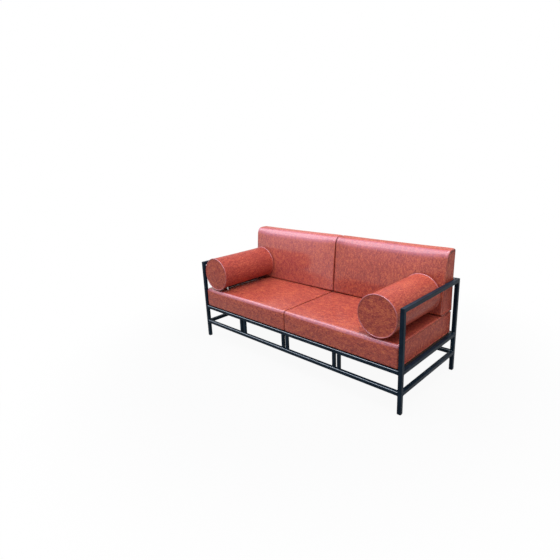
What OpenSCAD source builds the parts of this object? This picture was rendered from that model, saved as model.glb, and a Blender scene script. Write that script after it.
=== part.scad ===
/* [Frame] */
// Overall width of the frame, outside of post to outside of post
frame_w = 1800; // [1500:10:2400]
// Overall depth of the frame, front face to rear face
frame_d = 710; // [620:5:900]
// Height of the tops of the arm rails above the floor
arm_h = 640; // [580:5:720]
// Height of the tops of the seat rails above the floor
seat_rail_top = 270; // [220:5:320]
// Height of the tops of the low stretchers above the floor
stretcher_top = 140; // [80:5:170]
// Side of the square tube of posts and rails
tube = 25; // [20:1:32]
// Wall of every steel tube
tube_wall = 1.5; // [1.2:0.1:2]
// Outer corner radius of the posts and rails
tube_corner = 3; // [2.2:0.1:4]

/* [Spindles and bearers] */
// Side of the square tube of the spindles
spindle = 20; // [14:1:20]
// Outer corner radius of the spindles
spindle_corner = 2.5; // [2.2:0.1:3]
// Clear gap between the two spindles of a pair
spindle_gap = 18; // [10:1:40]
// Side of the square tube that carries the seat deck
bearer = 16; // [12:1:20]
// Outer corner radius of the bearers
bearer_corner = 2.4; // [2.2:0.1:3]
// Clear gap between the two middle bearers
bearer_gap = 8; // [4:1:20]

/* [Seat deck] */
// Thickness of the plywood seat boards
deck_t = 9; // [6:1:12]
// Gap all round each seat board
deck_gap = 1.5; // [0.5:0.5:4]
// Leg of the steel angle that carries the outer end of a board
ledge_leg = 15; // [10:1:25]
// Thickness of that steel angle
ledge_t = 2; // [1.5:0.5:3]
// Corner radius of a seat board
deck_corner = 8; // [4:1:20]
// Diameter of the countersunk screw heads
screw_head = 8; // [7:0.5:9]
// Shank diameter of the deck screws
screw_d = 4; // [3:0.5:4.5]
// Length of the deck screws
screw_l = 17; // [14:1:20]
// Distance of the outer screws from the ends of a board
screw_inset = 60; // [30:5:150]

/* [Foot glides] */
// Height of the glide below the end of the post
glide_h = 4; // [2:0.5:8]
// Amount the glide steps in from the faces of the post
glide_step = 0.5; // [0.2:0.1:2]
// Length of the ribbed plug inside the post
plug_l = 18; // [10:1:30]
// Height of one rib on the plug
rib_h = 2; // [1:0.5:3]
// Amount a rib stands out from the plug
rib_out = 0.8; // [0.4:0.1:1]

/* [Seat cushions] */
// Thickness of a seat cushion at its edge
seat_t = 150; // [110:5:180]
// Rise of the top of a seat cushion above its edge
seat_crown = 5; // [2:1:6]
// Rounding of the long edges of a seat cushion
seat_edge = 22; // [14:1:28]
// Radius of the upright corners of a seat cushion
seat_corner = 12; // [8:1:40]
// Swell of the boxing of a seat cushion
seat_swell = 3; // [0:0.5:4]
// Gap between a seat cushion and the posts
seat_side_gap = 5; // [4.5:0.5:12]

/* [Back cushions] */
// Width of a back cushion
back_w = 853; // [680:1:860]
// Height of a back cushion
back_h = 412; // [340:2:460]
// Thickness of a back cushion at its foot
back_t = 150; // [120:2:180]
// Thickness of a back cushion at its top
back_top_t = 105; // [80:1:118]
// Rise of the front face of a back cushion
back_crown = 8; // [2:1:12]
// Rounding of the edges of a back cushion
back_edge = 28; // [18:1:34]
// Radius of the corners of a back cushion, seen from the front
back_corner = 14; // [8:1:45]
// Swell of the boxing of a back cushion
back_swell = 2; // [0:0.5:3]

/* [Covers] */
// Thickness of the leatherette cover with its backing
cover_t = 2.5; // [1.5:0.5:3]
// Clearance between parts that touch or nearly touch
clearance = 0.3; // [0.2:0.05:0.4]
// Depth by which the seams draw in the sides between corners
seam_draw = 4; // [0:0.5:6]

/* [Bolsters] */
// Radius of a bolster
bolster_r = 128; // [100:1:140]
// Length of a bolster between its end seams
bolster_l = 514; // [400:2:520]
// Distance from the face of the frame to the front of a bolster
bolster_front = 14; // [5:1:40]
// Gap between the side of the left bolster and the left arm posts
left_bolster_gap = 3; // [3:1:30]
// Gap between the side of the right bolster and the right arm posts
right_bolster_gap = 18; // [3:1:30]
// Swell of the round end panels of a bolster
bolster_dome = 4; // [0:1:6]
// Radius of the piping round the ends of a bolster
piping_r = 4; // [3:0.25:5]
// Amount the piping stands out of the cover
piping_out = 2.5; // [1:0.25:3]

/* [Zips] */
// Angle of the zip below the horizontal, on the inner side of a bolster
zip_angle = 55; // [45:1:58]
// Width of the zip tape
zip_w = 24; // [18:1:30]
// Thickness of the zip tape
zip_tape_t = 1; // [0.6:0.1:1.2]
// Length of the zip
zip_l = 460; // [300:10:470]
// Distance from the front of the bolster to the end of the zip
zip_start = 26; // [20:2:60]
// Width of the raised coil of the zip
coil_w = 5; // [4:0.5:6]
// Height of the raised coil above the tape
coil_h = 2; // [1.5:0.25:2.5]
// Length of the zip slider
slider_l = 16; // [12:1:20]
// Width of the zip slider
slider_w = 10; // [9:0.5:12]
// Thickness of the roof of the slider
slider_t = 1.6; // [1.2:0.1:2]
// Distance from the end of the zip to the middle of the slider when shut
slider_start = 20; // [14:2:40]
// Diameter of the pin that holds the pull tab
pin_d = 1.8; // [1.4:0.1:2]
// Clearance all round that pin in the eye of the tab
pin_fit = 0.1; // [0.05:0.01:0.1]
// Thickness of the pull tab
tab_t = 1.2; // [0.8:0.1:1.4]
// Width of the pull tab
tab_w = 6; // [5:0.5:6.5]
// Length of the pull tab from its pin to its tip
tab_l = 17; // [12:1:18]

/* [Hidden] */
$fn = 48;
// Overrun of a cut past the face that it opens
over = 1;
// Outside faces of the frame, and the faces that the cushions sit between
half_w = frame_w / 2;
half_d = frame_d / 2;
inner_x = half_w - tube;
inner_y = half_d - tube;
post_x = half_w - tube / 2;
post_y = half_d - tube / 2;
// Places of the spindle pairs and bearers: they part the width in four
quarter = post_x / 2;
// Pitch between the middles of the two spindles of a pair
spindle_pitch = spindle + spindle_gap;
// The two middle bearers stand either side of the joint between the seat boards
middle = (bearer + bearer_gap) / 2;
deck_under = seat_rail_top - deck_t;
// Screws: three along each bearer
screw_y = inner_y - screw_inset;
cone_h = (screw_head - screw_d) / 2;
screw_places = [for (x = [-quarter, -middle, middle, quarter], y = [-screw_y, 0, screw_y]) [x, y]];
// Seat and back cushions
seat_w = inner_x - seat_side_gap - clearance;
seat_l = half_d + inner_y - clearance - seat_swell;
seat_front = -half_d + seat_swell;
seat_z = seat_rail_top + clearance;
seat_top = seat_z + seat_t;
seat_x = clearance + seat_w / 2;
back_rear = inner_y - clearance;
back_foot = back_rear - back_t;
// The two back cushions stand against the right posts and each other
back_right_x = inner_x - seat_side_gap - back_w / 2;
back_left_x = back_right_x - back_w - 2 * back_swell - 2 * clearance;
// Crown of a cushion at a share of its half width and half depth: nearly level in the middle
function rise(crown, u_share, v_share) = crown * (1 - pow(u_share, 4)) * (1 - pow(v_share, 4));
// The foot of a back cushion rests where the seat is highest below it
foot_share = (back_foot + back_edge - seat_front - seat_l / 2) / (seat_l / 2);
back_z = seat_top + rise(seat_crown, 0, foot_share) + clearance;
// Bolsters lie beside the arms, on their piping. The highest line of the crown
// passes under that piping as a seat cushion is drawn out, so they clear it.
bolster_y = -half_d + bolster_front;
function bolster_x(sx) =
  inner_x - (sx > 0 ? right_bolster_gap : left_bolster_gap) - bolster_r - piping_out;
function bolster_z(sx) =
  let (rest_x_share = (bolster_x(sx) - seat_x) / (seat_w / 2))
  seat_top + rise(seat_crown, rest_x_share, 0) + clearance + piping_out + bolster_r;
// Zip: the tape lies on a flat cut across the round of the bolster
zip_drop = bolster_r - sqrt(bolster_r * bolster_r - zip_w * zip_w / 4);
tape_top = bolster_r - zip_drop - zip_tape_t / 2;
tape_floor = tape_top - zip_tape_t;
coil_top = tape_top + coil_h;
roof_top = coil_top + clearance + slider_t;
eye_r = pin_d / 2 + pin_fit + tab_t;
pin_z = roof_top + eye_r + clearance;
lug_w = (slider_w - tab_w) / 2 - clearance;

// Square with round corners, drawn about its middle
module round_square(side, corner) {
  square([side - 2 * corner, side], center = true);
  square([side, side - 2 * corner], center = true);
  for (sx = [-1, 1], sy = [-1, 1])
    translate([sx * (side / 2 - corner), sy * (side / 2 - corner)])
      circle(corner);
}

// Square steel tube that stands on the origin along z
module tube_run(side, corner, length) {
  linear_extrude(length)
    difference() {
      round_square(side, corner);
      round_square(side - 2 * tube_wall, corner - tube_wall);
    }
}

// Wedge that mitres the end of a tube: takes all above a 45 degree plane falling towards +y
module mitre_wedge(side) {
  rotate([-45, 0, 0])
    translate([-side, -2 * side, 0])
      cube([2 * side, 4 * side, 2 * side]);
}

// Upright post, mitred at its top towards the arm rail
module post(sx, sy) {
  color("#1b2126")
    translate([sx * post_x, sy * post_y, 0])
      difference() {
        translate([0, 0, glide_h])
          tube_run(tube, tube_corner, arm_h - glide_h);
        translate([0, 0, arm_h - tube / 2])
          mirror([0, sy > 0 ? 1 : 0, 0])
            mitre_wedge(tube);
      }
}

// Arm rail, mitred at both ends onto the posts
module arm_rail(sx) {
  color("#1b2126")
    translate([sx * post_x, 0, arm_h - tube / 2])
      difference() {
        translate([0, -half_d, 0])
          rotate([-90, 0, 0])
            tube_run(tube, tube_corner, frame_d);
        for (sy = [-1, 1])
          mirror([0, sy > 0 ? 1 : 0, 0])
            translate([0, -post_y, 0])
              rotate([180, 0, 0])
                mitre_wedge(tube);
      }
}

// Rail across the width, between the posts, with its top at a height
module cross_rail(sy, top) {
  color("#1b2126")
    translate([-inner_x, sy * post_y, top - tube / 2])
      rotate([0, 90, 0])
        tube_run(tube, tube_corner, 2 * inner_x);
}

// Rail from front to back, between the posts, with its top at a height
module side_rail(sx, top) {
  color("#1b2126")
    translate([sx * post_x, -inner_y, top - tube / 2])
      rotate([-90, 0, 0])
        tube_run(tube, tube_corner, 2 * inner_y);
}

// Pair of spindles side by side, from one rail up to the next
module spindle_pair(x, sy, low, high) {
  color("#1b2126")
    for (side = [-1, 1])
      translate([x + side * spindle_pitch / 2, sy * post_y, low])
        tube_run(spindle, spindle_corner, high - low);
}

// Short pair between the front rails, and tall pair behind the back cushions
module front_spindles(x) {
  spindle_pair(x, -1, stretcher_top, seat_rail_top - tube);
}

module back_spindles(x) {
  spindle_pair(x, 1, seat_rail_top, arm_h - tube);
}

// Bearer from front rail to rear rail, under the seat boards, drilled for the deck screws
module deck_bearer(x) {
  color("#1b2126")
    difference() {
      translate([x, -inner_y, deck_under - bearer / 2])
        rotate([-90, 0, 0])
          tube_run(bearer, bearer_corner, 2 * inner_y);
      for (place = screw_places)
        if (abs(place[0] - x) < bearer / 2)
          translate([place[0], place[1], deck_under - bearer / 2])
            cylinder(h = bearer, d = screw_d + 2 * clearance);
    }
}

// Steel angle on the inner face of a side rail
module ledge(sx) {
  color("#1b2126")
    mirror([sx > 0 ? 0 : 1, 0, 0]) {
      translate([inner_x - ledge_leg, -inner_y, deck_under - ledge_t])
        cube([ledge_leg, 2 * inner_y, ledge_t]);
      translate([inner_x - ledge_t, -inner_y, deck_under - ledge_leg])
        cube([ledge_t, 2 * inner_y, ledge_leg]);
    }
}

// Plywood seat board with countersunk holes
module deck_board(sx) {
  board_w = inner_x - 3 * deck_gap / 2;
  board_l = 2 * inner_y - 2 * deck_gap;
  color("#2b1d16")
    difference() {
      translate([sx * (deck_gap / 2 + board_w / 2), 0, deck_under])
        linear_extrude(deck_t) {
          square([board_w - 2 * deck_corner, board_l], center = true);
          square([board_w, board_l - 2 * deck_corner], center = true);
          for (px = [-1, 1], py = [-1, 1])
            translate([px * (board_w / 2 - deck_corner), py * (board_l / 2 - deck_corner)])
              circle(deck_corner);
        }
      for (place = screw_places)
        if (place[0] * sx > 0)
          translate([place[0], place[1], deck_under]) {
            translate([0, 0, -over])
              cylinder(h = deck_t + 2 * over, d = screw_d + 2 * clearance);
            translate([0, 0, deck_t - cone_h])
              cylinder(h = cone_h, d1 = screw_d + 2 * clearance, d2 = screw_head + 2 * clearance);
          }
    }
}

// Countersunk screws that hold the boards to the bearers
module screws() {
  color("#b9bcc0")
    for (place = screw_places)
      translate([place[0], place[1], seat_rail_top]) {
        translate([0, 0, -cone_h])
          cylinder(h = cone_h, d1 = screw_d, d2 = screw_head);
        translate([0, 0, -screw_l])
          cylinder(h = screw_l - cone_h, d = screw_d);
      }
}

// Moulded glide with a ribbed plug that pushes into the end of a post
module glide(sx, sy) {
  bore = tube - 2 * tube_wall;
  foot = tube - 2 * glide_step;
  plug = bore - 2 * rib_out - 2 * clearance;
  color("#0c0d0f")
    translate([sx * post_x, sy * post_y, 0]) {
      translate([0, 0, glide_h / 2])
        linear_extrude(glide_h / 2)
          round_square(foot, tube_corner);
      linear_extrude(glide_h / 2)
        round_square(foot - glide_h / 2, tube_corner - glide_h / 4);
      translate([0, 0, glide_h])
        linear_extrude(plug_l)
          round_square(plug, tube_corner - tube_wall);
      for (k = [1:3])
        translate([0, 0, glide_h + k * plug_l / 4 - rib_h / 2])
          linear_extrude(rib_h)
            round_square(plug + 2 * rib_out, tube_corner - tube_wall);
    }
}

// One level of a cushion: an outline from x -hx to hx and y y0 to y1, drawn in between corners.
// Draws are the depths on the rear, left, front and right sides.
arc_steps = 3;
side_steps = 4;
level_n = 4 * (arc_steps + side_steps);
function corner_mid(q, hx, y0, y1, r) =
  [(q == 0 || q == 3 || q == 4 ? 1 : -1) * (hx - r), q == 0 || q == 1 || q == 4 ? y1 - r : y0 + r];
function corner_point(q, k, hx, y0, y1, r) =
  corner_mid(q, hx, y0, y1, r) + r * [cos(90 * q + 90 * k / arc_steps), sin(90 * q + 90 * k / arc_steps)];
function side_point(q, j, hx, y0, y1, r, draws) =
  let (s = j / side_steps)
  (1 - s) * corner_point(q, arc_steps, hx, y0, y1, r) + s * corner_point(q + 1, 0, hx, y0, y1, r)
    - draws[q] * 4 * s * (1 - s) * [cos(90 * q + 90), sin(90 * q + 90)];
function level(hx, y0, y1, r, draws) =
  [for (q = [0:3], k = [0:arc_steps + side_steps - 1])
    k <= arc_steps ? corner_point(q, k, hx, y0, y1, r)
                   : side_point(q, k - arc_steps, hx, y0, y1, r, draws)];

// Soft box on the origin: width w about x, length l along y, thickness t that tapers to t_far.
// Inset draws every face in alike, for the inside of a cover and for the foam within it.
// Swells are the outward swell of the side faces, of the far end and of the near end.
top_share = [0.72, 0.4];
edge_turns = [-90, -45, 0];
upper_turns = [0, 30, 60, 90];
function thickness(y, l, t, t_far) = t + (t_far - t) * y / l;
function soft_point(p, z_share, lift, w, l, t, t_far, crown, inset) =
  let (u = 2 * p[0] / w, v = 2 * p[1] / l - 1)
  [p[0], p[1], inset + z_share * (thickness(p[1], l, t, t_far) - 2 * inset)
    + lift * rise(crown, u, v)];
function soft_level(hx, y0, y1, r, z_share, lift, w, l, t, t_far, crown, inset, draws) =
  [for (p = level(hx, y0, y1, r, draws)) soft_point(p, z_share, lift, w, l, t, t_far, crown, inset)];

module soft_box(w, l, t, t_far, corner, edge, crown, swells, draws, inset) {
  hx = w / 2 - inset;
  y0 = inset;
  y1 = l - inset;
  ym = l / 2;
  r = corner - inset;
  e = edge - inset;
  lowers = [for (a = edge_turns)
    let (d = e * (1 - cos(a)))
    soft_level(hx - d, y0 + d, y1 - d, r * (1 - d / e / 2), e * (1 + sin(a)) / (t - 2 * inset), 0,
      w, l, t, t_far, crown, inset, draws)];
  middle = [soft_level(hx + swells[0], y0 - swells[2], y1 + swells[1], r + swells[0], 1 / 2, 0,
      w, l, t, t_far, crown, inset, draws)];
  uppers = [for (a = upper_turns)
    let (d = e * (1 - cos(a)))
    soft_level(hx - d, y0 + d, y1 - d, r * (1 - d / e / 2), 1 - e * (1 - sin(a)) / (t - 2 * inset), a / 90,
      w, l, t, t_far, crown, inset, draws)];
  inners = [for (s = top_share)
    soft_level(s * (hx - e), ym - s * (ym - y0 - e), ym + s * (y1 - e - ym), s * r / 2, 1, 1,
      w, l, t, t_far, crown, inset, s * draws)];
  rings = concat(lowers, middle, uppers, inners);
  n_rings = len(rings);
  points = concat([for (ring = rings, p = ring) p],
    [[0, ym, inset]], [soft_point([0, ym], 1, 1, w, l, t, t_far, crown, inset)]);
  low_mid = n_rings * level_n;
  top_mid = low_mid + 1;
  last = (n_rings - 1) * level_n;
  bands = [for (k = [0:n_rings - 2], j = [0:level_n - 1])
    let (a = k * level_n + j, d = k * level_n + (j + 1) % level_n)
    each [[a, a + level_n, d + level_n], [a, d + level_n, d]]];
  under = [for (j = [0:level_n - 1]) [low_mid, j, (j + 1) % level_n]];
  cap = [for (j = [0:level_n - 1]) [top_mid, last + (j + 1) % level_n, last + j]];
  polyhedron(points, concat(bands, under, cap), convexity = 4);
}

// Seat cushion form: flat underside, crowned top, front face swelling over the rail
module seat_form(sx, inset) {
  translate([sx * seat_x, seat_front, seat_z])
    soft_box(seat_w, seat_l, seat_t, seat_t, seat_corner, seat_edge, seat_crown,
      [0, 0, seat_swell], [0, seam_draw, 0, seam_draw], inset);
}

// Back cushion form: a wedge with an upright back, a leaning crowned front and a flat foot
module back_form(x, inset) {
  translate([x, back_rear, back_z])
    rotate([90, 0, 0])
      soft_box(back_w, back_h, back_t, back_top_t, back_corner, back_edge, back_crown,
        [back_swell, back_swell, 0], [seam_draw, seam_draw / 2, 0, seam_draw / 2], inset);
}

module seat_foam(sx) {
  color("#e8dcae")
    seat_form(sx, cover_t + clearance);
}

module seat_cover(sx) {
  color("#8f3b28")
    difference() {
      seat_form(sx, 0);
      seat_form(sx, cover_t);
    }
}

module back_foam(x) {
  color("#e8dcae")
    back_form(x, cover_t + clearance);
}

module back_cover(x) {
  color("#8f3b28")
    difference() {
      back_form(x, 0);
      back_form(x, cover_t);
    }
}

// Round form of a bolster along +z: domed ends and rounded rims, drawn in by inset
rim_turns = [0, 30, 60, 90];
dome_share = [0.25, 0.5, 0.75];
function dome(s) = bolster_dome * (1 - s * s);
function bolster_outline(inset) =
  let (r = bolster_r - inset, e = piping_r, flat_r = r - e, low = inset, high = bolster_l - inset)
  concat([[0, low - dome(0)]],
    [for (s = dome_share) [s * flat_r, low - dome(s)]],
    [for (a = rim_turns) [flat_r + e * sin(a), low + e * (1 - cos(a))]],
    [for (a = rim_turns) [flat_r + e * cos(a), high - e * (1 - sin(a))]],
    [for (k = [2, 1, 0]) [dome_share[k] * flat_r, high + dome(dome_share[k])]],
    [[0, high + dome(0)]]);

module bolster_form(inset) {
  rotate_extrude($fn = 96)
    polygon(bolster_outline(inset));
}

// Piping rings at the two rims of a bolster
module piping_rings(r) {
  for (z = [piping_r - piping_out, bolster_l - piping_r + piping_out])
    translate([0, 0, z])
      rotate_extrude($fn = 96)
        translate([bolster_r - piping_r + piping_out, 0])
          circle(r, $fn = 24);
}

// Puts a bolster along y beside an arm; the zip side faces the middle of the sofa
module place_bolster(sx) {
  mirror([sx > 0 ? 0 : 1, 0, 0])
    translate([bolster_x(sx), bolster_y, bolster_z(sx)])
      rotate([-90, 0, 0])
        children();
}

// Puts a zip part on its bolster: x runs across the tape, y along the bolster, z outwards
module place_zip(sx) {
  mirror([sx > 0 ? 0 : 1, 0, 0])
    translate([bolster_x(sx), bolster_y + zip_start, bolster_z(sx)])
      rotate([0, 270 - zip_angle, 0])
        children();
}

module bolster_foam(sx) {
  color("#e8dcae")
    place_bolster(sx)
      bolster_form(cover_t + piping_r + clearance);
}

module bolster_cover(sx) {
  color("#8f3b28")
    difference() {
      place_bolster(sx)
        difference() {
          bolster_form(0);
          bolster_form(cover_t + piping_r);
          piping_rings(piping_r + clearance / 2);
        }
      place_zip(sx)
        translate([-zip_w / 2 - clearance, -clearance, tape_floor])
          cube([zip_w + 2 * clearance, zip_l + 2 * clearance, bolster_r]);
    }
}

module bolster_piping(sx) {
  color("#a04a38")
    place_bolster(sx)
      piping_rings(piping_r);
}

module zip_tape(sx) {
  color("#111214")
    place_zip(sx) {
      translate([-zip_w / 2, 0, tape_floor])
        cube([zip_w, zip_l, zip_tape_t]);
      translate([-coil_w / 2, 0, tape_top])
        cube([coil_w, zip_l, coil_h]);
    }
}

// Slider: a cap with two side cheeks over the coil, and two lugs that hold the pin of the tab
module zip_slider(sx) {
  cap_low = tape_top + clearance;
  color("#c3c6ca")
    place_zip(sx)
      translate([0, slider_start, 0]) {
        difference() {
          translate([-slider_w / 2, -slider_l / 2, cap_low])
            cube([slider_w, slider_l, roof_top - cap_low]);
          translate([-coil_w / 2 - clearance, -slider_l / 2 - over, cap_low - over])
            cube([coil_w + 2 * clearance, slider_l + 2 * over, coil_top + clearance - cap_low + over]);
        }
        for (side = [-1, 1])
          translate([side * (slider_w / 2 - lug_w / 2) - lug_w / 2, -eye_r, roof_top])
            cube([lug_w, 2 * eye_r, pin_z - roof_top + eye_r]);
        translate([-slider_w / 2, 0, pin_z])
          rotate([0, 90, 0])
            cylinder(h = slider_w, d = pin_d);
      }
}

// Pull tab: an eye round the pin and a flat leaf with a round window
module pull_tab(sx) {
  window_d = tab_w / 2;
  color("#c3c6ca")
    place_zip(sx)
      translate([0, slider_start, pin_z])
        difference() {
          union() {
            translate([-tab_w / 2, 0, 0])
              rotate([0, 90, 0])
                cylinder(h = tab_w, r = eye_r);
            translate([-tab_w / 2, -tab_t / 2, 0])
              cube([tab_w, tab_t, tab_l - tab_w / 2]);
            translate([0, tab_t / 2, tab_l - tab_w / 2])
              rotate([90, 0, 0])
                cylinder(h = tab_t, d = tab_w);
          }
          translate([-tab_w / 2 - over, 0, 0])
            rotate([0, 90, 0])
              cylinder(h = tab_w + 2 * over, d = pin_d + 2 * pin_fit);
          translate([0, tab_t / 2 + over, tab_l - tab_w / 2])
            rotate([90, 0, 0])
              cylinder(h = tab_t + 2 * over, d = window_d);
        }
}

post(-1, -1);  // front_left_post
post(1, -1);  // front_right_post
post(-1, 1);  // rear_left_post
post(1, 1);  // rear_right_post
arm_rail(-1);  // left_arm_rail
arm_rail(1);  // right_arm_rail
cross_rail(1, arm_h);  // rear_top_rail
cross_rail(-1, seat_rail_top);  // front_seat_rail
cross_rail(1, seat_rail_top);  // rear_seat_rail
side_rail(-1, seat_rail_top);  // left_seat_rail
side_rail(1, seat_rail_top);  // right_seat_rail
cross_rail(-1, stretcher_top);  // front_stretcher
cross_rail(1, stretcher_top);  // rear_stretcher
side_rail(-1, stretcher_top);  // left_stretcher
side_rail(1, stretcher_top);  // right_stretcher
front_spindles(-quarter);  // front_spindles_left
front_spindles(0);  // front_spindles_centre
front_spindles(quarter);  // front_spindles_right
back_spindles(-quarter);  // back_spindles_left
back_spindles(0);  // back_spindles_centre
back_spindles(quarter);  // back_spindles_right
deck_bearer(-quarter);  // left_bearer
deck_bearer(-middle);  // centre_left_bearer
deck_bearer(middle);  // centre_right_bearer
deck_bearer(quarter);  // right_bearer
ledge(-1);  // left_ledge
ledge(1);  // right_ledge
deck_board(-1);  // left_deck_board
deck_board(1);  // right_deck_board
screws();  // deck_screws
glide(-1, -1);  // front_left_glide
glide(1, -1);  // front_right_glide
glide(-1, 1);  // rear_left_glide
glide(1, 1);  // rear_right_glide
seat_foam(-1);  // left_seat_foam
seat_cover(-1);  // left_seat_cover
seat_foam(1);  // right_seat_foam
seat_cover(1);  // right_seat_cover
back_foam(back_left_x);  // left_back_foam
back_cover(back_left_x);  // left_back_cover
back_foam(back_right_x);  // right_back_foam
back_cover(back_right_x);  // right_back_cover
bolster_foam(-1);  // left_bolster_foam
bolster_cover(-1);  // left_bolster_cover
bolster_piping(-1);  // left_bolster_piping
zip_tape(-1);  // left_zip_tape
zip_slider(-1);  // left_zip_slider
pull_tab(-1);  // left_pull_tab
bolster_foam(1);  // right_bolster_foam
bolster_cover(1);  // right_bolster_cover
bolster_piping(1);  // right_bolster_piping
zip_tape(1);  // right_zip_tape
zip_slider(1);  // right_zip_slider
pull_tab(1);  // right_pull_tab
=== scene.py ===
import math

import bmesh
import bpy
import numpy as np
from mathutils import Matrix, Vector


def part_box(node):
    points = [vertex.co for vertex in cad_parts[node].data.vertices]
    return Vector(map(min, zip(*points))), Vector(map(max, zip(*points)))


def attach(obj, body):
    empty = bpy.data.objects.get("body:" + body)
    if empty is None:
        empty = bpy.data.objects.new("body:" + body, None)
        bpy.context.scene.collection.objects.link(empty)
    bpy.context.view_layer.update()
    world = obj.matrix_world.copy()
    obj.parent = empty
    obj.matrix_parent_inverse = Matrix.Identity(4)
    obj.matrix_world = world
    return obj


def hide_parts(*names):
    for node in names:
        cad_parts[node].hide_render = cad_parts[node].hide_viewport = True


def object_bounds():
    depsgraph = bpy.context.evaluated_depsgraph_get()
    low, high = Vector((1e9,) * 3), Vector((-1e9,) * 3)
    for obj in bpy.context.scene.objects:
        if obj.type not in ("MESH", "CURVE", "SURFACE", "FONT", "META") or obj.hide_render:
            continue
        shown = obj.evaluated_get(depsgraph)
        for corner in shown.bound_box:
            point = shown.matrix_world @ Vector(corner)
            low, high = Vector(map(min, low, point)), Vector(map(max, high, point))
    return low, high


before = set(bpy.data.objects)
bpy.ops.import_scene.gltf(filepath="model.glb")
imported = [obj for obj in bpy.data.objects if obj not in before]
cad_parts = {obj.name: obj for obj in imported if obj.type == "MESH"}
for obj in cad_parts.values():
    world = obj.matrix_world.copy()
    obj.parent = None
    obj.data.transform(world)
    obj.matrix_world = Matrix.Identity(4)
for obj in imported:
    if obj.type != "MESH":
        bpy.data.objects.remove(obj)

cad_low, cad_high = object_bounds()

# Studio.
# The camera stands where the photograph was taken, to the right of the sofa and a little above it.
# The floor is plain and pale, and fades to a white backdrop. A wide window lamp stands above the left
# front, a second lamp hangs over the right end and a weak one fills the right side.

CAMERA_PLACE = (1.93519, -2.29709, 1.45281)
CAMERA_YAW, CAMERA_PITCH, CAMERA_ROLL = -0.7872, 0.2782, 0.0463
FOCAL_PIXELS, IMAGE_PIXELS = 428.911, 560
PRINCIPAL_POINT = (279.57, 276.28)
SENSOR_MM = 36

forward = Vector((math.sin(CAMERA_YAW) * math.cos(CAMERA_PITCH),
                  math.cos(CAMERA_YAW) * math.cos(CAMERA_PITCH),
                  -math.sin(CAMERA_PITCH)))
level_right = Vector((math.cos(CAMERA_YAW), -math.sin(CAMERA_YAW), 0))
level_down = forward.cross(level_right)
right = math.cos(CAMERA_ROLL) * level_right + math.sin(CAMERA_ROLL) * level_down
down = math.cos(CAMERA_ROLL) * level_down - math.sin(CAMERA_ROLL) * level_right

lens = bpy.data.cameras.new("camera")
lens.sensor_width = SENSOR_MM
lens.lens = FOCAL_PIXELS / IMAGE_PIXELS * SENSOR_MM
lens.shift_x = (IMAGE_PIXELS / 2 - PRINCIPAL_POINT[0]) / IMAGE_PIXELS
lens.shift_y = (PRINCIPAL_POINT[1] - IMAGE_PIXELS / 2) / IMAGE_PIXELS
camera = bpy.data.objects.new("camera", lens)
turn = Matrix((right, -down, -forward)).transposed().to_4x4()
camera.matrix_world = Matrix.Translation(CAMERA_PLACE) @ turn
bpy.context.scene.collection.objects.link(camera)
bpy.context.scene.camera = camera
bpy.context.scene.view_settings.view_transform = "Standard"


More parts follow.
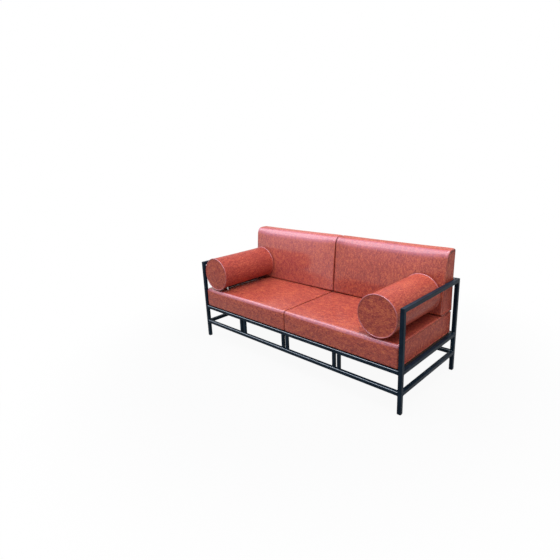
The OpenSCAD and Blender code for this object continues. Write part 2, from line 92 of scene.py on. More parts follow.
class Shade:
    """A socket of a material's nodes. Sums and products of shades, or of shades and numbers, add Math nodes."""

    def __init__(self, tree, socket=None):
        self.tree = tree
        self.socket = socket

    def node(self, kind, settings=None, sockets=None, out=0):
        """Adds a node: its settings first, then the values or links of its sockets. Gives one output."""
        made = self.tree.nodes.new(kind)
        for name, value in (settings or {}).items():
            setattr(made, name, value)
        for name, value in (sockets or {}).items():
            if isinstance(value, Shade):
                self.tree.links.new(value.socket, made.inputs[name])
            else:
                made.inputs[name].default_value = value
        return Shade(self.tree, made.outputs[out])

    def math(self, operation, *values):
        return self.node("ShaderNodeMath", {"operation": operation}, dict(enumerate(values)))

    def __add__(self, other):
        return self.math("ADD", self, other)

    __radd__ = __add__

    def __sub__(self, other):
        return self.math("SUBTRACT", self, other)

    def __rsub__(self, other):
        return self.math("SUBTRACT", other, self)

    def __mul__(self, other):
        return self.math("MULTIPLY", self, other)

    __rmul__ = __mul__

    def span(self, low, high):
        """0 below low, 1 above high and smooth between them."""
        return self.node("ShaderNodeMapRange", {"interpolation_type": "SMOOTHSTEP"},
                         {"Value": self, "From Min": low, "From Max": high})

    def noise(self, where, scale, detail=2, roughness=0.5, distortion=0):
        return self.node("ShaderNodeTexNoise", None,
                         {"Vector": where, "Scale": scale, "Detail": detail,
                          "Roughness": roughness, "Distortion": distortion})

    def stretch(self, where, factors, offset=(0, 0, 0)):
        return self.node("ShaderNodeMapping", None,
                         {"Vector": where, "Scale": factors, "Location": offset})

    def mix(self, factor, low, high):
        """A colour between two colours."""
        return self.node("ShaderNodeMix", {"data_type": "RGBA"}, {0: factor, 6: low, 7: high}, out=2)

    def place(self):
        """Where a point is on its own piece, in metres."""
        return self.node("ShaderNodeTexCoord", out=3)

    def background_ray(self):
        """1 for a ray that shows the background: from the camera, off a gloss or through glass."""
        rays = [self.node("ShaderNodeLightPath", out="Is %s Ray" % kind)
                for kind in ("Camera", "Glossy", "Transmission")]
        return self.math("MAXIMUM", self.math("MAXIMUM", rays[0], rays[1]), rays[2])

    def upness(self, vector):
        """How far a vector points or lies up: its Z."""
        return self.node("ShaderNodeSeparateXYZ", None, {0: vector}, out=2)

    def highlight_edge(self, normal, low, high):
        """1 on rounded edges that face up and to the front, where the materials put a painted highlight and more
        coat gloss, and 0 on flat faces.
        """
        up = self.upness(normal)
        back = self.node("ShaderNodeSeparateXYZ", None, {0: normal}, out=1)
        return up.span(low, low + 0.3) * (1 - up.span(high - 0.06, high)) * (1 - back.span(-0.4, -0.05))

    def bump(self, strength, distance, height, normal=None):
        """A normal that stands in for relief, given as its depth in metres, over another normal if there is one."""
        sockets = {"Strength": strength, "Distance": distance, "Height": height}
        if normal:
            sockets["Normal"] = normal
        return self.node("ShaderNodeBump", None, sockets)

    def surface(self, sockets):
        """Finishes the material with one Principled shader."""
        self.finish(self.node("ShaderNodeBsdfPrincipled", None, sockets))

    def finish(self, shader):
        output = self.tree.nodes.new("ShaderNodeOutputMaterial")
        self.tree.links.new(shader.socket, output.inputs["Surface"])


def new_material(name):
    material = bpy.data.materials.new(name)
    material.use_nodes = True
    material.node_tree.nodes.clear()
    return material, Shade(material.node_tree)


FLOOR_SIZE = 60
FLOOR_WHITE = (0.32, 0.32, 0.32, 1)
FADE_START, FADE_END = 1.0, 2.2
FLOOR_GLOW = 0.94

floor_mesh = bmesh.new()
bmesh.ops.create_grid(floor_mesh, x_segments=1, y_segments=1, size=FLOOR_SIZE / 2)
floor_data = bpy.data.meshes.new("floor")
floor_mesh.to_mesh(floor_data)
floor_mesh.free()
floor = bpy.data.objects.new("floor", floor_data)
bpy.context.scene.collection.objects.link(floor)
floor_look, s = new_material("pale_floor")
from_middle = s.node("ShaderNodeVectorMath", {"operation": "LENGTH"}, {0: s.place()}, out=1)
fade = (FLOOR_GLOW + (1 - FLOOR_GLOW) * from_middle.span(FADE_START, FADE_END)) * s.background_ray()
matt = s.node("ShaderNodeBsdfPrincipled", None, {"Base Color": FLOOR_WHITE, "Roughness": 0.9})
glow = s.node("ShaderNodeEmission", None, {"Color": (1, 1, 1, 1), "Strength": 1})
s.finish(s.node("ShaderNodeMixShader", None, {0: fade, 1: matt, 2: glow}))
floor_data.materials.append(floor_look)

world = bpy.data.worlds.new("studio")
world.use_nodes = True
world.node_tree.nodes.clear()
bpy.context.scene.world = world
s = Shade(world.node_tree)
soft = s.node("ShaderNodeBackground", None, {"Color": (0.9, 0.95, 1, 1), "Strength": 0.40})
white = s.node("ShaderNodeBackground", None, {"Color": (1, 1, 1, 1), "Strength": 1})
both = s.node("ShaderNodeMixShader", None, {0: s.background_ray(), 1: soft, 2: white})
world_output = world.node_tree.nodes.new("ShaderNodeOutputWorld")
world.node_tree.links.new(both.socket, world_output.inputs["Surface"])

# name, place, point aimed at, size in metres, power in watts, colour
LAMPS = (
    ("window", (-1.8, -1.1, 3.1), (-1.8, -0.4, 0.45), (4.8, 2.4), 122, (0.94, 0.92, 1)),
    ("overhead", (1.2, -0.1, 3.2), (0.9, 0, 0.4), (2.4, 1.8), 80, (0.97, 0.97, 1)),
    ("side_fill", (3.4, -2.4, 1.5), (0, 0, 0.5), (2.0, 1.6), 16, (1, 0.97, 0.94)),
)
for name, place, aim, size, power, colour in LAMPS:
    lamp = bpy.data.lights.new(name, "AREA")
    lamp.shape = "RECTANGLE"
    lamp.size, lamp.size_y = size
    lamp.energy = power
    lamp.color = colour
    lamp_object = bpy.data.objects.new(name, lamp)
    lamp_object.location = place
    lamp_object.rotation_euler = (Vector(aim) - Vector(place)).to_track_quat("-Z", "Y").to_euler()
    bpy.context.scene.collection.objects.link(lamp_object)

# Steel frame.
# Posts, rails, stretchers, spindles, bearers and ledges of welded square tube, one welded frame.
# The coat is a blue-black powder paint, satin, with a fine orange peel. Its upper front arrises get more coat gloss
# and a pale painted highlight mixed into the colour.

COAT_DARK = (0.0045, 0.0115, 0.0210, 1)
COAT_BLUE = (0.0095, 0.0210, 0.0350, 1)
COAT_DUST = (0.0500, 0.0650, 0.0800, 1)
COAT_ARRIS_HIGHLIGHT = (0.3500, 0.4300, 0.5000, 1)
COAT_SHINE = 0.04
PEEL_SCALE, PEEL_DEPTH = 700, 0.00004

coat, s = new_material("powder_coat")
where = s.place()
cloudy = s.noise(where, 14, 4).span(0.35, 0.7)
facing = s.node("ShaderNodeNewGeometry", out=1)
dust = s.upness(facing).span(0.6, 1.0) * s.noise(where, 160, 5, 0.7).span(0.46, 0.72)
# painted highlight: the up-and-front arrises are mixed towards a pale blue-grey; their extra coat gloss is real
arris_highlight_and_gloss = s.highlight_edge(facing, 0.10, 0.999)
paint = s.mix(arris_highlight_and_gloss * 0.8, s.mix(cloudy, COAT_DARK, COAT_BLUE), COAT_ARRIS_HIGHLIGHT)
s.surface({"Base Color": s.mix(dust * 0.15, paint, COAT_DUST),
           "Specular IOR Level": COAT_SHINE,
           "Coat Weight": arris_highlight_and_gloss, "Coat Roughness": 0.15, "Coat IOR": 1.8,
           "Roughness": 0.30 + dust * 0.12 + cloudy * 0.06,
           "Normal": s.bump(0.5, PEEL_DEPTH, s.noise(where, PEEL_SCALE, 2))})


def paint_nodes(names, look):
    """Gives each of these CAD pieces one material."""
    for name in names:
        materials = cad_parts[name].data.materials
        materials.clear()
        materials.append(look)


paint_nodes([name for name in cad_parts
             if any(word in name for word in ("post", "rail", "stretcher", "spindles", "bearer", "ledge"))], coat)

# Weld beads.
# A thin fillet of weld runs round the end of each rail and spindle, where it meets its neighbour.
# The beads are ground flush on the outer faces and painted with the frame, so they only show as a soft line.

BEAD_RADIUS = 0.0016
BEAD_SIDES = 6
BEAD_STEP = 0.0028
TUBE_ROUND = 0.003


def smooth_mesh(name, points, faces):
    data = bpy.data.meshes.new(name)
    data.from_pydata([tuple(p) for p in points], [], [tuple(f) for f in faces])
    data.update()
    data.polygons.foreach_set("use_smooth", [True] * len(data.polygons))
    made = bpy.data.objects.new(name, data)
    bpy.context.scene.collection.objects.link(made)
    return made


def bead_ring(middle, across, up, half):
    """Points of a bead round the square end of a tube, a little lumpy, and its faces."""
    rounded = []
    for quarter in range(4):
        for step in range(4):
            angle = math.radians(90 * quarter + 30 * step)
            corner = math.radians(90 * quarter + 45)
            reach = half - TUBE_ROUND
            rounded.append((math.copysign(reach, math.cos(corner)) + TUBE_ROUND * math.cos(angle),
                            math.copysign(reach, math.sin(corner)) + TUBE_ROUND * math.sin(angle)))
    dense = []
    for k, (ax, ay) in enumerate(rounded):
        bx, by = rounded[(k + 1) % len(rounded)]
        parts = max(1, round(math.hypot(bx - ax, by - ay) / BEAD_STEP))
        dense += [(ax + (bx - ax) * j / parts, ay + (by - ay) * j / parts) for j in range(parts)]
    axis = across.cross(up)
    points, faces = [], []
    for k, (x, y) in enumerate(dense):
        out = Vector((x, y)).normalized()
        lump = BEAD_RADIUS * (1 + 0.22 * math.sin(2.1 * k) + 0.1 * math.sin(5.3 * k))
        for j in range(BEAD_SIDES):
            turn = 2 * math.pi * j / BEAD_SIDES
            side = lump * math.cos(turn)
            points.append(middle + (x + out.x * side) * across + (y + out.y * side) * up
                          + lump * math.sin(turn) * axis)
            a = k * BEAD_SIDES + j
            b = k * BEAD_SIDES + (j + 1) % BEAD_SIDES
            c = (k + 1) % len(dense) * BEAD_SIDES
            faces.append((a, b, c + (j + 1) % BEAD_SIDES, c + j))
    return points, faces


X, Y, Z = Vector((1, 0, 0)), Vector((0, 1, 0)), Vector((0, 0, 1))
RUNS_ALONG = {"rear_top_rail": X, "front_seat_rail": X, "rear_seat_rail": X, "left_seat_rail": Y,
              "right_seat_rail": Y, "front_stretcher": X, "rear_stretcher": X,
              "left_stretcher": Y, "right_stretcher": Y}
# where each bead lies: its middle, the two ways across the tube, and half the tube's width
bead_places = []
for name, along in RUNS_ALONG.items():
    low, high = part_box(name)
    middle, half_run = (low + high) / 2, (high - low).dot(along) / 2
    across = Y if along is X else X
    bead_places += [(middle + end * half_run * along, across, Z, (high.z - low.z) / 2) for end in (-1, 1)]
for name in (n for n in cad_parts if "spindles" in n):
    low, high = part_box(name)
    width = high.y - low.y
    bead_places += [(Vector((x, (low.y + high.y) / 2, z)), X, Y, width / 2)
                    for x in (low.x + width / 2, high.x - width / 2) for z in (low.z, high.z)]
bead_points, bead_faces = [], []
for place in bead_places:
    points, faces = bead_ring(*place)
    bead_faces += [tuple(i + len(bead_points) for i in f) for f in faces]
    bead_points += points
bead_points = [(min(max(x, cad_low[0]), cad_high[0]), min(max(y, cad_low[1]), cad_high[1]), z)
               for x, y, z in bead_points]
beads = smooth_mesh("weld_beads", bead_points, bead_faces)
beads.data.materials.append(coat)
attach(beads, "frame")

# Seat deck.
# Two boards of film-faced plywood, dark brown with sealed edges, lie on the bearers and ledges.
# Twelve zinc-plated countersunk screws hold them from above.

FILM_DARK = (0.016, 0.010, 0.007, 1)
FILM_BROWN = (0.040, 0.024, 0.015, 1)
SCRATCH_DEPTH = 0.0001
ZINC_DULL = (0.50, 0.50, 0.48, 1)
ZINC_BRIGHT = (0.68, 0.69, 0.70, 1)

ply, s = new_material("film_faced_plywood")
where = s.place()
figure = s.noise(s.stretch(where, (1.2, 26, 26)), 7, 6, 0.6, 0.4).span(0.35, 0.68)
scratches = s.noise(s.stretch(where, (8, 300, 300)), 4, 3).span(0.6, 0.75)
s.surface({"Base Color": s.mix(figure * 0.8, FILM_DARK, FILM_BROWN),
           "Roughness": 0.42 + scratches * 0.3,
           "Normal": s.bump(0.4, SCRATCH_DEPTH, 1 - scratches)})
paint_nodes(("left_deck_board", "right_deck_board"), ply)

zinc, s = new_material("zinc_plate")
where = s.place()
mottle = s.noise(where, 500, 3).span(0.3, 0.7)
s.surface({"Base Color": s.mix(mottle, ZINC_DULL, ZINC_BRIGHT),
           "Metallic": 1.0, "Roughness": 0.28 + mottle * 0.14})
paint_nodes(("deck_screws",), zinc)

# Foot glides.
# A moulded black plastic cap with a ribbed plug is pushed into the foot of each post.
# It is matt, and scuffed grey where it meets the floor.

PLASTIC_BLACK = (0.010, 0.010, 0.012, 1)
PLASTIC_SCUFFED = (0.16, 0.16, 0.155, 1)
SCUFF_FULL, SCUFF_END = 0.0004, 0.0026
MOULD_GRAIN = 0.00003

moulded, s = new_material("moulded_black")
where = s.place()
scuff = (1 - s.upness(where).span(SCUFF_FULL, SCUFF_END)) * s.noise(where, 240, 5, 0.7).span(0.42, 0.6)
s.surface({"Base Color": s.mix(scuff, PLASTIC_BLACK, PLASTIC_SCUFFED),
           "Roughness": 0.55 + scuff * 0.3,
           "Normal": s.bump(0.3, MOULD_GRAIN, s.noise(where, 1500, 2))})
paint_nodes([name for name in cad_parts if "glide" in name], moulded)

# Leatherette.
# Every cushion and bolster is covered with the same semi-gloss leatherette, printed terracotta
# over red-brown in fine streaks. Each piece is cut with the streaks its own way.

HIDE_DARK = (0.205, 0.034, 0.030, 1)
HIDE_RED = (0.385, 0.067, 0.048, 1)
HIDE_ORANGE = (0.560, 0.145, 0.066, 1)
# a pale lilac mixed into the covers as a painted highlight on their upper front edges and as painted light on whole
# pieces
HIDE_PAINTED_LIGHT = (0.620, 0.300, 0.480, 1)
SHINE = 0.06
# the print: the scale of its three noises and their shares, then where its dark and its warm parts begin and end
FINE_SCALE, BROAD_SCALE, CLOUD_SCALE = 105, 36, 3.5
FINE_SHARE, BROAD_SHARE, CLOUD_SHARE = 0.64, 0.26, 0.10
DARK_FULL, DARK_END = 0.39, 0.51
WARM_START, WARM_FULL = 0.49, 0.61
PEBBLE_SCALE, CREASE_SCALE, SLACK_SCALE = 620, 240, 11
GRAIN_DEPTH = 0.00012
SLACK_DEPTH = 0.0012


def leatherette(name, streaks, shift, gloss, wear_and_painted_light=0.0, edge_highlight_and_gloss=0.0, on_top=0.0, deep=0.0):
    """The cover material, with its streaks stretched by three factors along the piece's axes. The first number
    after gloss mixes the whole piece towards a pale lilac, as painted light; the second mixes its upper front edges
    towards that lilac as a painted highlight and gives them more coat gloss; the third is what share of gloss its
    level faces have gained by sitting or lost to dust; the last is how much of the dark print the piece has,
    painted shade on the left bolster."""
    material, s = new_material(name)
    where = s.place()
    run = s.stretch(where, streaks, shift)
    fine = s.noise(run, FINE_SCALE, 5, 0.62, 1.3)
    broad = s.noise(run, BROAD_SCALE, 4, 0.6, 0.6)
    cloud = s.noise(where, CLOUD_SCALE, 3)
    tone = fine * FINE_SHARE + broad * BROAD_SHARE + cloud * CLOUD_SHARE
    dark = 1 - tone.span(DARK_FULL + deep, DARK_END + deep)
    warm = tone.span(WARM_START + deep, WARM_FULL + deep)
    normal = s.node("ShaderNodeTexCoord", out=1)
    level = s.upness(normal).span(0.80, 0.97)
    edge = s.highlight_edge(normal, 0.12, 0.98) * edge_highlight_and_gloss
    printed = s.mix(warm, s.mix(dark, HIDE_RED, HIDE_DARK), HIDE_ORANGE)
    slack = s.noise(s.stretch(where, (1, 1, 1), shift), SLACK_SCALE, 2)
    pebble = s.node("ShaderNodeTexVoronoi", {"feature": "SMOOTH_F1"}, {"Vector": where, "Scale": PEBBLE_SCALE})
    creases = s.noise(where, CREASE_SCALE, 4, 0.6)
    glossy = (edge * (1 - gloss) + gloss) * (1 + level * on_top)
    # painted highlight on the upper front edges and painted light over the whole piece, both by mixing in the pale
    # lilac
    s.surface({"Base Color": s.mix(edge * 0.25 + wear_and_painted_light, printed, HIDE_PAINTED_LIGHT),
               "Roughness": 0.36 + creases * 0.10 - warm * 0.03,
               "Specular IOR Level": SHINE,
               "Coat Weight": s.math("MINIMUM", glossy, 1), "Coat Roughness": 0.15,
               "Normal": s.bump(0.5, GRAIN_DEPTH, pebble * 0.6 + creases * 0.4,
                                s.bump(0.6, SLACK_DEPTH, slack))})
    return material


def rounded_profile(width, height, radii, per_corner, spacing):
    """A closed outline from (0, 0) to (width, height), with its corners rounded by four radii:
    lower rear, upper rear, upper front and lower front."""
    points = []
    a, b, c, d = radii
    mids = ((width - a, a, -90, a), (width - b, height - b, 0, b), (c, height - c, 90, c), (d, d, 180, d))
    for k, (cx, cy, start, radius) in enumerate(mids):
        for j in range(per_corner + 1):
            angle = math.radians(start + 90 * j / per_corner)
            points.append((cx + radius * math.cos(angle), cy + radius * math.sin(angle)))
        nx, ny, begin, radius = mids[(k + 1) % 4]
        after = (nx + radius * math.cos(math.radians(begin)), ny + radius * math.sin(math.radians(begin)))
        ax, ay = points[-1]
        parts = max(2, round(math.hypot(after[0] - ax, after[1] - ay) / spacing))
        points += [(ax + (after[0] - ax) * j / parts, ay + (after[1] - ay) * j / parts)
                   for j in range(1, parts)]
    return points


def wrapped_block(name, width, profile, end_round, spacing):
    """A block whose main panel wraps round the profile along x, closed by two end panels sewn on.
    Gives the object, and which of its points lie on each of the two end seams."""
    profile = np.array(profile)
    count = len(profile)
    centre = (profile.min(0) + profile.max(0)) / 2
    outward = np.roll(profile, -1, 0) - np.roll(profile, 1, 0)
    outward = np.stack([outward[:, 1], -outward[:, 0]], 1)
    outward /= np.linalg.norm(outward, axis=1)[:, None]
    inner = width - 2 * end_round
    steps = max(4, round(inner / spacing))
    stations = [(-inner / 2 + inner * k / steps, 0.0) for k in range(steps + 1)]
    arc = [(end_round * math.sin(math.radians(a)), end_round * (1 - math.cos(math.radians(a))))
           for a in (30, 60, 90)]
    stations = ([(-inner / 2 - x, d) for x, d in reversed(arc)] + stations
                + [(inner / 2 + x, d) for x, d in arc])
    points = []
    for x, draw in stations:
        ring = profile - outward * draw
        points += [(x, y, z) for y, z in ring]
    faces = []
    for k in range(len(stations) - 1):
        for j in range(count):
            a, b = k * count + j, k * count + (j + 1) % count
            faces.append((a, a + count, b + count, b))
    reach = min(np.ptp(profile[:, 0]), np.ptp(profile[:, 1])) / 2
    insets = max(2, round((reach - end_round) / spacing))
    for end, first in ((-1, 0), (1, (len(stations) - 1) * count)):
        last = list(range(first, first + count))
        edge = np.array([points[i][1:] for i in last])
        x = points[first][0]
        for k in range(1, insets):
            share = 1 - k / insets
            ring = centre + (edge - centre) * share
            made = list(range(len(points), len(points) + count))
            points += [(x, y, z) for y, z in ring]
            for j in range(count):
                quad = (last[j], last[(j + 1) % count], made[(j + 1) % count], made[j])
                faces.append(quad if end > 0 else quad[::-1])
            last = made
        points.append((x, *centre))
        for j in range(count):
            tri = (last[j], last[(j + 1) % count], len(points) - 1)
            faces.append(tri if end > 0 else tri[::-1])
    seams = [range(k * count, (k + 1) * count) for k in (1, len(stations) - 2)]
    return smooth_mesh(name, points, faces), seams


def coordinates(made):
    co = np.zeros(len(made.data.vertices) * 3)
    made.data.vertices.foreach_get("co", co)
    return co.reshape(-1, 3)


def set_coordinates(made, co):
    made.data.vertices.foreach_set("co", co.astype(np.float32).ravel())
    made.data.update()


CLOTH_FRAMES = 20
CLOTH_SETTINGS = {"quality": 4, "mass": 0.35, "tension_stiffness": 25, "compression_stiffness": 25,
                  "shear_stiffness": 12, "bending_stiffness": 2, "use_pressure": True,
                  "uniform_pressure_force": 4, "vertex_group_mass": "seams"}


def press_cover(made, pinned, cap):
    """Shapes the cover by a short cloth simulation under pressure, held where pinned is 1. No point moves as
    far as cap. The pressure was meant to blow the covers up, but it draws them in by 1 to 3 mm."""
    rest = coordinates(made)
    group = made.vertex_groups.new(name="seams")
    for weight in np.unique(np.round(pinned, 1)):
        chosen = np.nonzero(np.round(pinned, 1) == weight)[0]
        group.add([int(i) for i in chosen], float(weight), "REPLACE")
    cloth = made.modifiers.new("cloth", "CLOTH")
    for setting, value in CLOTH_SETTINGS.items():
        setattr(cloth.settings, setting, value)
    cloth.settings.effector_weights.gravity = 0
    cloth.collision_settings.use_collision = False
    cloth.collision_settings.use_self_collision = False
    cloth.point_cache.frame_start, cloth.point_cache.frame_end = 1, CLOTH_FRAMES
    for step in range(1, CLOTH_FRAMES + 1):
        bpy.context.scene.frame_set(step)
    move = coordinates(made.evaluated_get(bpy.context.evaluated_depsgraph_get())) - rest
    far = np.linalg.norm(move, axis=1)[:, None]
    made.modifiers.remove(cloth)
    bpy.context.scene.frame_set(1)
    set_coordinates(made, rest + move * cap / (cap + far))


def subdivide(made):
    smooth = made.modifiers.new("smooth", "SUBSURF")
    smooth.levels = smooth.render_levels = 1


def cord_along(name, line, radius, sides=8):
    """A thin round cord round a closed line of points, as a mesh. Its faces point inward."""
    line = [Vector(p) for p in line]
    points, faces = [], []
    count = len(line)
    for k, p in enumerate(line):
        ahead = (line[(k + 1) % count] - line[k - 1]).normalized()
        if points:
            # carried on from the point before, so that the cord doesn't twist
            side = (side - side.dot(ahead) * ahead).normalized()
        else:
            side = ahead.cross(Z)
            if side.length < 0.2:
                side = ahead.cross(X)
            side.normalize()
        up = side.cross(ahead)
        points += [p + radius * (math.cos(2 * math.pi * j / sides) * side
                                 + math.sin(2 * math.pi * j / sides) * up) for j in range(sides)]
    for k in range(count):
        for j in range(sides):
            a, b = k * sides + j, k * sides + (j + 1) % sides
            c, d = (k + 1) % count * sides + j, (k + 1) % count * sides + (j + 1) % sides
            faces.append((a, b, d, c))
    return smooth_mesh(name, points, faces)


END_NORMAL = 0.75


def cover_ends(made, look, end_look):
    """Gives the main panel one cover material, and the two end panels, whose normals lie along x, another."""
    made.data.materials.append(look)
    made.data.materials.append(end_look)
    made.data.polygons.foreach_set("material_index",
                                   [int(abs(p.normal.x) > END_NORMAL) for p in made.data.polygons])


SEAM_RADIUS = 0.0012


def sew_ends(made, seams, look, body):
    """Raises a fine seam where each end panel is sewn on."""
    co = coordinates(made)
    for k, seam in enumerate(seams):
        line = cord_along("%s_seam_%d" % (made.name, k), co[list(seam)], SEAM_RADIUS)
        line.data.materials.append(look)
        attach(line, body)


# Seat cushions.
# A foam block in a sewn cover: one panel wraps round the top, front, underside and rear, and an end
# panel closes each side. The cushions lie loose on the deck, crowned on top and flat beneath.

SEAT_SPACING = 0.011
SEAT_EDGES = (0.012, 0.006, 0.026, 0.014)
SEAT_END_ROUND = 0.009
SEAT_CROWN = 0.005
SEAT_BULGE = 0.006
SEAT_BULGE_DEPTH = 0.06
SEAT_INSET = 0.001
SEAT_RESTING = 0.12
SEAM_GAP = 0.0025
# the end panels: where along the half width they begin to be drawn in, over what share, and how far
END_START, END_SHARE, END_DRAW = 0.97, 0.03, 0.003
SEAM_HOLD = 0.012
CUSHION_CAP = 0.003
BOX_SPARE = 0.004


def draw_ends_in(co, u, v):
    """Pulls the middle of each end panel in. Both shares run from -1 to 1, u along x and v along the panel."""
    at_end = np.clip((np.abs(u) - END_START) / END_SHARE, 0, 1)
    co[:, 0] -= np.sign(u) * at_end * END_DRAW * (1 - v ** 2)


def held_by_seams(co, width):
    """1 on the end seams of a block and 0 further than SEAM_HOLD from them."""
    return np.clip(1 - np.abs(np.abs(co[:, 0]) - (width / 2 - SEAT_END_ROUND)) / SEAM_HOLD, 0, 1)


# The seats' upper front edges are mixed towards the pale lilac as a painted highlight.
seat_look = {
    "left": leatherette("seat_leatherette_left", (0.7, 1.2, 1.2), (0.0, 0.0, 0.0),
                        0.36, edge_highlight_and_gloss=1, on_top=1.1),
    "right": leatherette("seat_leatherette_right", (0.7, 1.2, 1.2), (3.1, 1.7, 0.0),
                         0.36, edge_highlight_and_gloss=1, on_top=1.2)}
side_look = leatherette("side_panel_leatherette", (1.2, 1.2, 0.8), (1.1, 0.0, 4.2), 0.0)
for side in ("left", "right"):
    low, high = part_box(side + "_seat_cover")
    size = high - low
    length, thick = size.y - 2 * SEAT_INSET, size.z - SEAT_CROWN
    profile = rounded_profile(length, thick, SEAT_EDGES, 5, SEAT_SPACING)
    cushion, seams = wrapped_block(side + "_seat_cushion", size.x - 2 * SEAM_GAP, profile,
                                   SEAT_END_ROUND, SEAT_SPACING)
    co = coordinates(cushion)
    u = co[:, 0] / (size.x / 2)
    v = 2 * co[:, 1] / length - 1
    w = co[:, 2] / thick
    top = np.clip((w - 0.6) / 0.4, 0, 1)
    co[:, 2] += top * SEAT_CROWN * (1 - np.clip(u, -1, 1) ** 4) * (1 - np.clip(v, -1, 1) ** 4)
    front = np.clip(1 - co[:, 1] / SEAT_BULGE_DEPTH, 0, 1)
    co[:, 1] += front * SEAT_BULGE * (1 - (1 - (2 * w - 1) ** 2) * (1 - np.clip(u, -1, 1) ** 8))
    draw_ends_in(co, u, v)
    set_coordinates(cushion, co)
    press_cover(cushion, np.maximum(held_by_seams(co, size.x), w < SEAT_RESTING), CUSHION_CAP)
    co = coordinates(cushion)
    co[:, 2] = np.maximum(co[:, 2], 0)
    co += np.array([(low.x + high.x) / 2, low.y + SEAT_INSET, low.z])
    co = np.clip(co, np.array(low), np.array(high) + np.array([0, 0, BOX_SPARE]))
    set_coordinates(cushion, co)
    cover_ends(cushion, seat_look[side], side_look)
    sew_ends(cushion, seams, seat_look[side], side + "_seat_cushion")
    subdivide(cushion)
    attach(cushion, side + "_seat_cushion")
    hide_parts(side + "_seat_cover", side + "_seat_foam")

# Back cushions.
# The same make as the seat: a wedge of foam, thicker at its foot, with a leaning crowned front.
# They stand loose on the seat cushions against the rear rail and its spindles.

BACK_SPACING = 0.011
BACK_EDGES = (0.005, 0.022, 0.054, 0.014)
BACK_CROWN = 0.016
BACK_TAPER = 0.045
# the share of its thickness that leans on the spindles, and the height of the foot that stands on the seat
BACK_RESTING, BACK_FOOT = 0.1, 0.01

# The backs' upper front edges get the same painted highlight; the left back is also mixed towards the lilac all
# over and printed lighter, as painted light.
back_look = {
    "left": leatherette("back_leatherette_left", (1.6, 1.6, 0.8), (0.7, 0.0, 2.3),
                        1, wear_and_painted_light=0.05, edge_highlight_and_gloss=1, on_top=-0.9, deep=-0.02),
    "right": leatherette("back_leatherette_right", (1.6, 1.6, 0.8), (5.2, 0.0, 0.9),
                         0.9, edge_highlight_and_gloss=1, on_top=-0.9)}
for side in ("left", "right"):
    low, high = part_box(side + "_back_cover")
    size = high - low
    thick, height = size.y, size.z
    profile = rounded_profile(thick, height, BACK_EDGES, 6, BACK_SPACING)
    cushion, seams = wrapped_block(side + "_back_cushion", size.x - 2 * SEAM_GAP, profile,
                                   SEAT_END_ROUND, BACK_SPACING)
    co = coordinates(cushion)
    u = np.clip(co[:, 0] / (size.x / 2), -1, 1)
    v = np.clip(2 * co[:, 2] / height - 1, -1, 1)
    front = 1 - co[:, 1] / thick
    co[:, 1] += front * BACK_TAPER * co[:, 2] / height
    co[:, 1] -= np.clip((front - 0.5) * 2, 0, 1) * BACK_CROWN * ((1 - u ** 4) * (1 - v ** 2))
    co[:, 1] -= front * co[:, 1].min()
    draw_ends_in(co, u, v)
    set_coordinates(cushion, co)
    resting = (front < BACK_RESTING) | (co[:, 2] < BACK_FOOT)
    press_cover(cushion, np.maximum(held_by_seams(co, size.x), resting), CUSHION_CAP)
    co = coordinates(cushion)
    co += np.array([(low.x + high.x) / 2, low.y, low.z])
    co = np.clip(co, np.array(low) - np.array([0, BOX_SPARE, 0]), np.array(high) + np.array([0, 0, BOX_SPARE]))
    set_coordinates(cushion, co)
    cover_ends(cushion, back_look[side], side_look)
    sew_ends(cushion, seams, back_look[side], side + "_back_cushion")
    subdivide(cushion)
    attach(cushion, side + "_back_cushion")
    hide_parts(side + "_back_cover", side + "_back_foam")

# Bolsters.
# A round foam roll in a cover, with piping sewn in where each round end panel meets the long panel.
# They lie loose at the arms; the end panels pucker a little at the piping. The mesh's faces point inward.

BOLSTER_SPACING = 0.010
END_DOME = 0.004
RIM_ROUND = 0.004
PUCKER = 0.0005
PIPING_RADIUS = 0.004
PIPING_OUT = 0.0025
PIPING_STEPS, PIPING_SIDES = 160, 12
# the rings of an end panel: how many, and the innermost as a share of the rim
END_RINGS, END_INNERMOST = 12, 0.08
# the pucker: its place and its width as shares of the radius
PUCKER_PLACE, PUCKER_WIDTH = 0.93, 0.07
# the cover is held at the rim and let go over this length
RIM_HOLD, RIM_LET_GO = 1.4, 0.008
BOLSTER_CAP = 0.002
# The zip tape lies in a slot with a flat floor. These are the places of the mesh's columns beside it, as shares
# of half the tape's width, then the share that the floor takes and its height over the tape's underside.
SLOT_COLUMNS = (-1.5, -1.2, -1.04, -0.88, -0.42, 0, 0.42, 0.88, 1.04, 1.2, 1.5)
SLOT_SHARE = 0.95
SLOT_LIFT = 0.0003
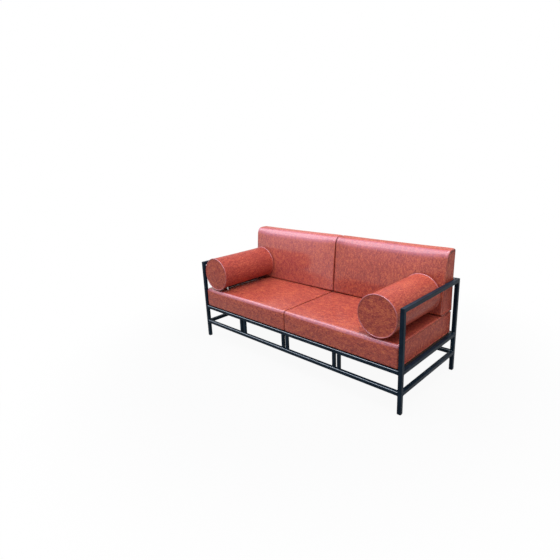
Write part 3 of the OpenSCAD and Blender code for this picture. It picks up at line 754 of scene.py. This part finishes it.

# The left bolster is printed darker than the right one, as painted shade.
bolster_look = {
    "left": leatherette("bolster_leatherette_left", (2.6, 0.8, 2.6), (1.3, 0.4, 0.0), 0.0, deep=0.035),
    "right": leatherette("bolster_leatherette_right", (2.6, 0.8, 2.6), (4.4, 2.6, 1.0), 0.05)}
end_look = leatherette("end_leatherette", (0.7, 0.7, 1.1), (0.5, 3.3, 0.2), 0.22, deep=-0.01)
# The piping is mixed towards the pale lilac all over and more on its upper front, as a painted highlight.
piping_look = leatherette("piping_leatherette", (2, 2, 2), (2.0, 0.0, 0.0), 0.5, wear_and_painted_light=0.06, edge_highlight_and_gloss=1)
for side in ("left", "right"):
    low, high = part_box(side + "_bolster_cover")
    radius = (high.z - low.z) / 2
    axis_x, axis_z = (low.x + high.x) / 2, (low.z + high.z) / 2
    first, last = low.y + END_DOME, high.y - END_DOME
    tape = np.array([tuple(v.co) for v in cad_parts[side + "_zip_tape"].data.vertices])
    tape -= np.array([axis_x, 0, axis_z])
    zip_out = tape[:, [0, 2]].mean(0)
    zip_out /= np.linalg.norm(zip_out)
    zip_across = np.array([-zip_out[1], zip_out[0]])
    tape_floor = (tape[:, [0, 2]] @ zip_out).min()
    tape_half = np.abs(tape[:, [0, 2]] @ zip_across).max()
    beside_zip = np.array(SLOT_COLUMNS) * tape_half / radius
    rest_of_turn = np.linspace(beside_zip[-1], 2 * math.pi + beside_zip[0],
                               round(2 * math.pi * radius / BOLSTER_SPACING))[1:-1]
    turns = math.atan2(zip_out[1], zip_out[0]) + np.concatenate([beside_zip, rest_of_turn])
    around = len(turns)
    outline = [(r * (radius - RIM_ROUND), first - END_DOME * (1 - r * r))
               for r in np.linspace(END_INNERMOST, 1, END_RINGS)]
    outline += [(radius - RIM_ROUND + RIM_ROUND * math.sin(a), first + RIM_ROUND * (1 - math.cos(a)))
                for a in np.radians((30, 60, 90))]
    runs = round((last - first - 2 * RIM_ROUND) / BOLSTER_SPACING)
    outline += [(radius, first + RIM_ROUND + (last - first - 2 * RIM_ROUND) * k / runs) for k in range(1, runs)]
    outline += [(radius - RIM_ROUND + RIM_ROUND * math.cos(a), last - RIM_ROUND * (1 - math.sin(a)))
                for a in np.radians((0, 30, 60))]
    outline += [(r * (radius - RIM_ROUND), last + END_DOME * (1 - r * r))
                for r in np.linspace(1, END_INNERMOST, END_RINGS)]
    points, faces, on_end = [], [], []
    for r, y in outline:
        points += [(r * math.cos(a), y, r * math.sin(a)) for a in turns]
    for k in range(len(outline) - 1):
        for j in range(around):
            a, b = k * around + j, k * around + (j + 1) % around
            faces.append((a, b, b + around, a + around))
            on_end.append(k < END_RINGS or k > len(outline) - END_RINGS - 2)
    for k, y in ((0, first - END_DOME), (len(outline) - 1, last + END_DOME)):
        points.append((0, y, 0))
        for j in range(around):
            tri = (k * around + j, len(points) - 1, k * around + (j + 1) % around)
            faces.append(tri if k == 0 else tri[::-1])
            on_end.append(True)
    bolster = smooth_mesh(side + "_bolster", points, faces)
    co = coordinates(bolster)
    r = np.hypot(co[:, 0], co[:, 2])
    angle = np.arctan2(co[:, 2], co[:, 0])
    near_rim = (np.exp(-((r - radius * PUCKER_PLACE) / (radius * PUCKER_WIDTH)) ** 2)
                * (r < radius - 0.001))
    lumps = np.sin(46 * angle) * 0.6 + np.sin(31 * angle + 1.7) * 0.4
    co[:, 1] += np.where(co[:, 1] < (first + last) / 2, 1, -1) * PUCKER * near_rim * (0.8 + lumps)
    rim_distance = np.minimum(np.abs(co[:, 1] - first), np.abs(co[:, 1] - last))
    set_coordinates(bolster, co)
    held = np.clip(RIM_HOLD - rim_distance / RIM_LET_GO, 0, 1) * (r > radius * 0.9)
    press_cover(bolster, held, BOLSTER_CAP)
    co = coordinates(bolster)
    out = co[:, [0, 2]] @ zip_out
    beside_tape = ((np.abs(co[:, [0, 2]] @ zip_across) < SLOT_SHARE * tape_half)
                   & (co[:, 1] > tape[:, 1].min()) & (co[:, 1] < tape[:, 1].max()))
    co[:, [0, 2]] -= np.outer(beside_tape * np.clip(out - tape_floor - SLOT_LIFT, 0, None), zip_out)
    co += np.array([axis_x, 0, axis_z])
    set_coordinates(bolster, co)
    bolster.data.materials.append(bolster_look[side])
    bolster.data.materials.append(end_look)
    bolster.data.polygons.foreach_set("material_index", [int(e) for e in on_end])
    subdivide(bolster)
    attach(bolster, side + "_bolster")
    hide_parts(side + "_bolster_cover", side + "_bolster_foam")
    rings = []
    for y in (first + PIPING_RADIUS - PIPING_OUT, last - PIPING_RADIUS + PIPING_OUT):
        ring_radius = radius - PIPING_RADIUS + PIPING_OUT
        line = [(axis_x + ring_radius * math.cos(2 * math.pi * k / PIPING_STEPS), y,
                 axis_z + ring_radius * math.sin(2 * math.pi * k / PIPING_STEPS)) for k in range(PIPING_STEPS)]
        rings.append(cord_along("%s_piping_%d" % (side, len(rings)), line, PIPING_RADIUS, PIPING_SIDES))
    for ring in rings:
        ring.data.materials.append(piping_look)
        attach(ring, side + "_bolster")
    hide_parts(side + "_bolster_piping")

# Zips.
# A black woven tape with a nylon coil is sewn along the lower inner side of each bolster.
# Its slider and pull tab are nickel plated; the tab hangs from a pin in the slider's lugs.

YARN_BLACK = (0.006, 0.006, 0.007, 1)
YARN_GREY = (0.022, 0.022, 0.025, 1)
WEAVE_SCALE, WEAVE_DEPTH = 260, 0.0002
NICKEL_BRIGHT = (0.80, 0.80, 0.79, 1)
NICKEL_RUBBED = (0.62, 0.62, 0.62, 1)

woven, s = new_material("zip_tape")
weave = s.node("ShaderNodeTexWave", {"bands_direction": "Y"},
               {"Vector": s.place(), "Scale": WEAVE_SCALE, "Distortion": 0.6})
s.surface({"Base Color": s.mix(weave, YARN_BLACK, YARN_GREY),
           "Roughness": 0.7 + weave * 0.2, "Specular IOR Level": 0.06,
           "Normal": s.bump(0.6, WEAVE_DEPTH, weave)})
nickel, s = new_material("nickel_plate")
wear_and_painted_light = s.noise(s.place(), 900, 3).span(0.4, 0.7)
s.surface({"Base Color": s.mix(wear_and_painted_light, NICKEL_BRIGHT, NICKEL_RUBBED),
           "Metallic": 1.0, "Roughness": 0.16 + wear_and_painted_light * 0.12})
for side in ("left", "right"):
    paint_nodes((side + "_zip_tape",), woven)
    paint_nodes((side + "_zip_slider", side + "_pull_tab"), nickel)
